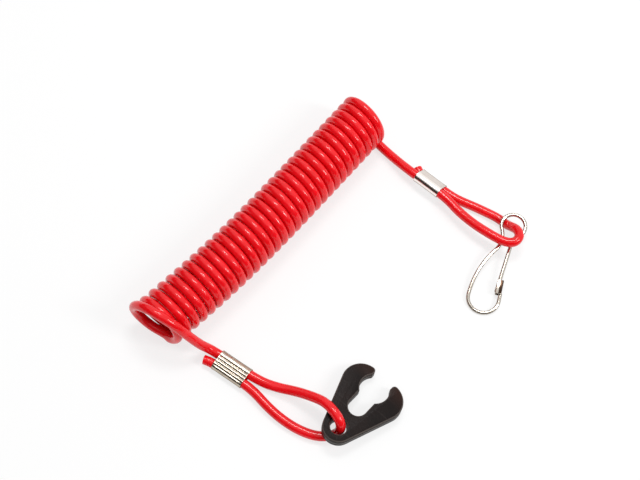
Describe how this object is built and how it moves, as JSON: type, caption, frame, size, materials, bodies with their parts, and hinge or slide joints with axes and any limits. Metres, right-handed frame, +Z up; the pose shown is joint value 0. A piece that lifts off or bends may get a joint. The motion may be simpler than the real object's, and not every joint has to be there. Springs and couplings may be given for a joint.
{
  "type": "engine kill switch lanyard",
  "caption": "Curly cord lanyard for an engine kill switch: a forked plastic key on one crimped loop and a wire snap clip on the other.",
  "frame": {"origin": "under the middle of the key, the snap clip and the two ferrules, on the plane they lie on", "axes": "+X runs along the coil from the key's end to the clip's end, +Y points from the key and clip towards the coil, +Z is up"},
  "size_m": [0.1501, 0.1156, 0.0285],
  "materials": {
    "red_cord": "glossy",
    "ferrule_nickel": "satin",
    "black_plastic": "satin",
    "clip_nickel": "polished"
  },
  "bodies": {
    "lanyard": {"coil_cord": "red_cord", "key_end_cord": "red_cord", "clip_end_cord": "red_cord", "key_end_ferrule": "ferrule_nickel", "clip_end_ferrule": "ferrule_nickel"},
    "key": {"kill_key": "black_plastic"},
    "clip": {"snap_clip": "clip_nickel"}
  },
  "joints": [
    {"name": "key_swing", "type": "hinge", "parent": "lanyard", "child": "key", "pos_m": [-0.05534, -0.02138, 0.00646], "axis": [0.1336, 0, 0.991], "range_deg": [-110, 8]},
    {"name": "clip_swing", "type": "hinge", "parent": "lanyard", "child": "clip", "pos_m": [0.06525, -0.01823, 0.0052], "axis": [-0.0985, -0.032, 0.9946], "range_deg": [-35, 90]}
  ]
}
